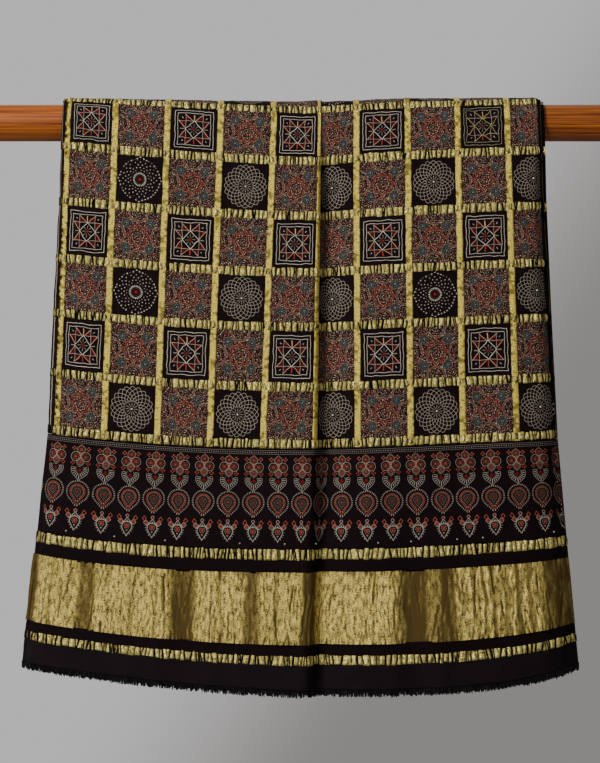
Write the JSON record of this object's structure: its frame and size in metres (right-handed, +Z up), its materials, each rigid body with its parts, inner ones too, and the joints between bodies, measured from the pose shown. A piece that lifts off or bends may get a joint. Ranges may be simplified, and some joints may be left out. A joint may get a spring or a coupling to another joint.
{
  "type": "patchwork shawl over a wooden rod",
  "caption": "Block-printed silk patchwork shawl with gold tapes, a wide gold tissue band and a frayed hem, folded lengthwise and hung over a round wooden rod.",
  "frame": {"origin": "centre of the rod's left end face, as seen from the shown side of the cloth", "axes": "+X along the rod, +Z up, and the shown side of the cloth faces -Y"},
  "size_m": [0.75, 0.1068, 0.5992],
  "materials": {
    "polished_wood": "oiled and polished, orange brown, with a lengthwise grain",
    "patchwork_silk": "squares of red, blue and cream block print and of black silk with cream line designs",
    "printed_black_silk": "matt black silk with block-printed motifs",
    "black_silk": "matt black silk",
    "gold_ribbon": "gathered metallic gold ribbon",
    "gold_tissue": "crinkled metallic gold tissue",
    "black_thread": "frayed black silk ends"
  },
  "bodies": {
    "root": {"rod": "polished_wood", "patchwork_field": "patchwork_silk", "print_border": "printed_black_silk", "upper_ruched_strip": "gold_ribbon", "upper_black_band": "black_silk", "tissue_band": "gold_tissue", "lower_black_band": "black_silk", "lower_ruched_strip": "gold_ribbon", "hem_band": "black_silk", "fringe": "black_thread"}
  },
  "joints": []
}
